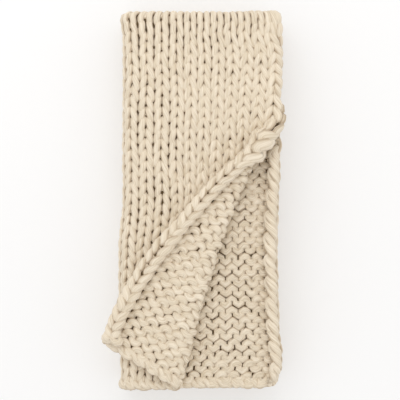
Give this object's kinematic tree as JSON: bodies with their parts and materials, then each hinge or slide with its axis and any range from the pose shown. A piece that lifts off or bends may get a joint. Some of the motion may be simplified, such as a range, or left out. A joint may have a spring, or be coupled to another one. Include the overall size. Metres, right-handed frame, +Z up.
{
  "type": "folded knit throw blanket",
  "caption": "Super-chunky plain knit throw, folded into a long flat stack with one corner of its top layer turned back.",
  "frame": {"origin": "on the surface it lies on, under the middle of the folded throw", "axes": "+Y towards the folded end, +X towards the free side edges, +Z up out of the surface, knit side up on the top layer"},
  "size_m": [0.369, 0.7671, 0.1792],
  "materials": {
    "oatmeal_yarn": "matt thick plied yarn, plain knitted"
  },
  "bodies": {
    "root": {"knit_throw": "oatmeal_yarn"}
  },
  "joints": []
}
